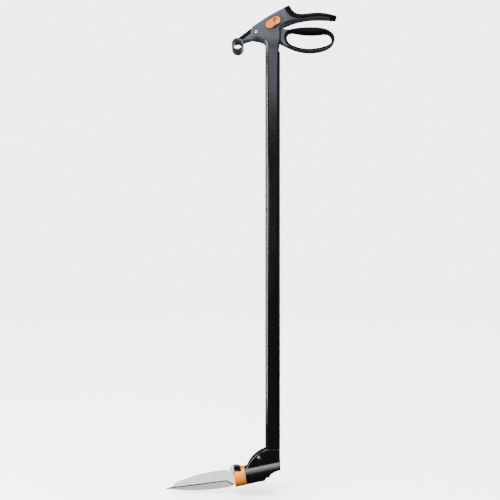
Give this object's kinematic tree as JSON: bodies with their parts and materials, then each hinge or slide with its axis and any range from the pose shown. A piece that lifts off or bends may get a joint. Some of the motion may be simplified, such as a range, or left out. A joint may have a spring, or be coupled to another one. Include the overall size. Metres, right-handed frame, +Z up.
{
  "type": "grass shears",
  "caption": "Long-handled grass shears: a trigger loop on a tall pole works two blades in a cutting head that turns.",
  "frame": {"origin": "centre of the hanging eye's bore, on the middle plane of the tool", "axes": "+Z up along the pole, -X towards the blade tips, +Y along the eye's bore, away from the lock button"},
  "size_m": [0.373, 0.0398, 1.0543],
  "materials": {
    "pole": "satin black coated steel tube",
    "head_plastic": "satin dark grey glass-filled nylon",
    "lever_plastic": "satin dark grey glass-filled nylon",
    "foot_plastic": "satin black glass-filled nylon",
    "soft_grip": "matt black thermoplastic rubber",
    "orange_plastic": "smooth orange plastic",
    "inner_plastic": "natural acetal",
    "zinc_steel": "zinc-plated steel",
    "spring_steel": "drawn spring wire",
    "blade_steel": "ground hardened steel"
  },
  "bodies": {
    "body": {"pole_tube": "pole", "handle_shell_left": "head_plastic", "handle_shell_right": "head_plastic", "handle_grip": "soft_grip", "handle_screws": "zinc_steel", "hanging_eye_arm": "head_plastic", "arm_strip": "soft_grip", "trigger_rivet": "zinc_steel", "upper_rod_guide": "inner_plastic", "middle_rod_guide": "inner_plastic", "lower_rod_guide": "inner_plastic", "lower_shell_left": "foot_plastic", "lower_shell_right": "foot_plastic", "lower_screws": "zinc_steel", "crank_rivet": "zinc_steel"},
    "trigger": {"trigger_lever": "lever_plastic", "trigger_grip": "soft_grip"},
    "pull_rod": {"pull_rod": "zinc_steel", "rod_top_clevis": "zinc_steel", "rod_top_pin": "zinc_steel", "rod_foot_clevis": "zinc_steel", "rod_foot_pin": "zinc_steel", "spring_collar": "zinc_steel", "return_spring": "spring_steel"},
    "lock": {"lock_button": "orange_plastic", "lock_bolt": "inner_plastic"},
    "bell_crank": {"bell_crank": "zinc_steel", "crank_bush": "inner_plastic"},
    "cutting_head": {"head_carrier": "foot_plastic", "collar": "orange_plastic", "retaining_ring": "zinc_steel", "fixed_blade": "blade_steel", "blade_bolt": "zinc_steel", "blade_nut": "zinc_steel", "blade_bush": "inner_plastic", "blade_locating_pin": "zinc_steel"},
    "plunger": {"plunger": "zinc_steel", "drive_pin": "zinc_steel"},
    "moving_blade": {"moving_blade": "blade_steel"}
  },
  "joints": [
    {"name": "trigger_pull", "type": "hinge", "parent": "body", "child": "trigger", "pos_m": [0.0405, 0, 0.0267], "axis": [0, 1, 0], "range_deg": [0, 14]},
    {"name": "rod_slide", "type": "slide", "parent": "body", "child": "pull_rod", "axis": [0, 0, 1], "range_m": [-0.00877, 0], "deforming": ["return_spring"]},
    {"name": "crank_pivot", "type": "hinge", "parent": "body", "child": "bell_crank", "pos_m": [0.04647, 0, -0.89373], "axis": [0, 1, 0], "range_deg": [0, 16.87]},
    {"name": "lock_slide", "type": "slide", "parent": "body", "child": "lock", "axis": [0.859, 0, 0.512], "range_m": [0, 0.0072]},
    {"name": "head_turn", "type": "hinge", "parent": "body", "child": "cutting_head", "pos_m": [0.01855, 0, -0.93495], "axis": [-0.9792, 0, -0.2028], "continuous": true},
    {"name": "plunger_slide", "type": "slide", "parent": "cutting_head", "child": "plunger", "axis": [-0.9792, 0, -0.2028], "range_m": [0, 0.01022]},
    {"name": "blade_pivot", "type": "hinge", "parent": "cutting_head", "child": "moving_blade", "pos_m": [-0.00342, 0, -0.9275], "axis": [0, 1, 0], "range_deg": [0, 46.9]}
  ],
  "couplings": [
    {"joint": "rod_slide", "follows": "trigger_pull", "m_per_rad": -0.0357},
    {"joint": "crank_pivot", "follows": "trigger_pull", "ratio": 1.2009},
    {"joint": "plunger_slide", "follows": "trigger_pull", "m_per_rad": 0.04167},
    {"joint": "blade_pivot", "follows": "trigger_pull", "ratio": 3.3465}
  ]
}
